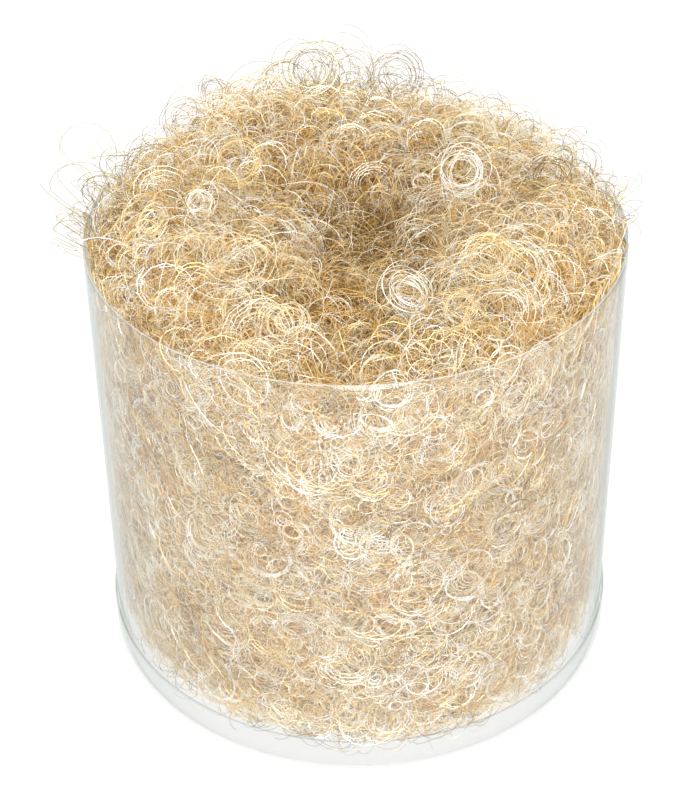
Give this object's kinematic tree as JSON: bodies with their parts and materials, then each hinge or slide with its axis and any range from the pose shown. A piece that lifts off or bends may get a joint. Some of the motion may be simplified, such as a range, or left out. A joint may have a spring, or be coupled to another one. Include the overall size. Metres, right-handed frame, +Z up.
{
  "type": "tip cleaning brass",
  "caption": "Clear round tub with a slip-over base cap, filled above its rim with fine curled brass wire that soldering iron tips are wiped in.",
  "frame": {"origin": "middle of the base cap's underside, on the tub's axis", "axes": "+Z up along the tub's axis, out of its open top; -Y is the front; +X is the right side, where the tube's sheet laps over itself"},
  "size_m": [0.1014, 0.1014, 0.1109],
  "materials": {
    "cap_plastic": "gloss",
    "tube_plastic": "gloss",
    "seam_adhesive": "gloss",
    "brass_core": "satin",
    "brass_wool": "satin",
    "brass_wire": "satin"
  },
  "bodies": {
    "base": {"base_cap": "cap_plastic"},
    "tub": {"clear_tube": "tube_plastic", "seam_adhesive": "seam_adhesive"},
    "wool": {"wool_core": "brass_core", "tuft_right": "brass_wool", "tuft_back_right": "brass_wool", "tuft_back": "brass_wool", "tuft_back_left": "brass_wool", "tuft_left": "brass_wool", "tuft_front_left": "brass_wool", "tuft_front": "brass_wool", "tuft_front_right": "brass_wool", "curl_back_high": "brass_wire", "curl_back_right_high": "brass_wire", "curl_back_left": "brass_wire", "curl_right_bright": "brass_wire", "curl_right_ring": "brass_wire", "curl_right_arc": "brass_wire", "curl_golden": "brass_wire", "curl_front_white": "brass_wire", "curl_front_small": "brass_wire", "curl_front_left": "brass_wire", "curl_left_arc": "brass_wire", "curl_left_white": "brass_wire", "curl_left_back": "brass_wire", "curl_left_edge": "brass_wire", "floor_loop_1": "brass_wire", "floor_loop_2": "brass_wire", "floor_loop_3": "brass_wire", "floor_loop_4": "brass_wire", "floor_loop_5": "brass_wire", "floor_loop_6": "brass_wire"}
  },
  "joints": [
    {"name": "tube_pull_off", "type": "slide", "parent": "base", "child": "tub", "axis": [0, 0, 1], "range_m": [0, 0.012]},
    {"name": "wool_lift_out", "type": "slide", "parent": "tub", "child": "wool", "axis": [0, 0, 1], "range_m": [0, 0.1]}
  ]
}
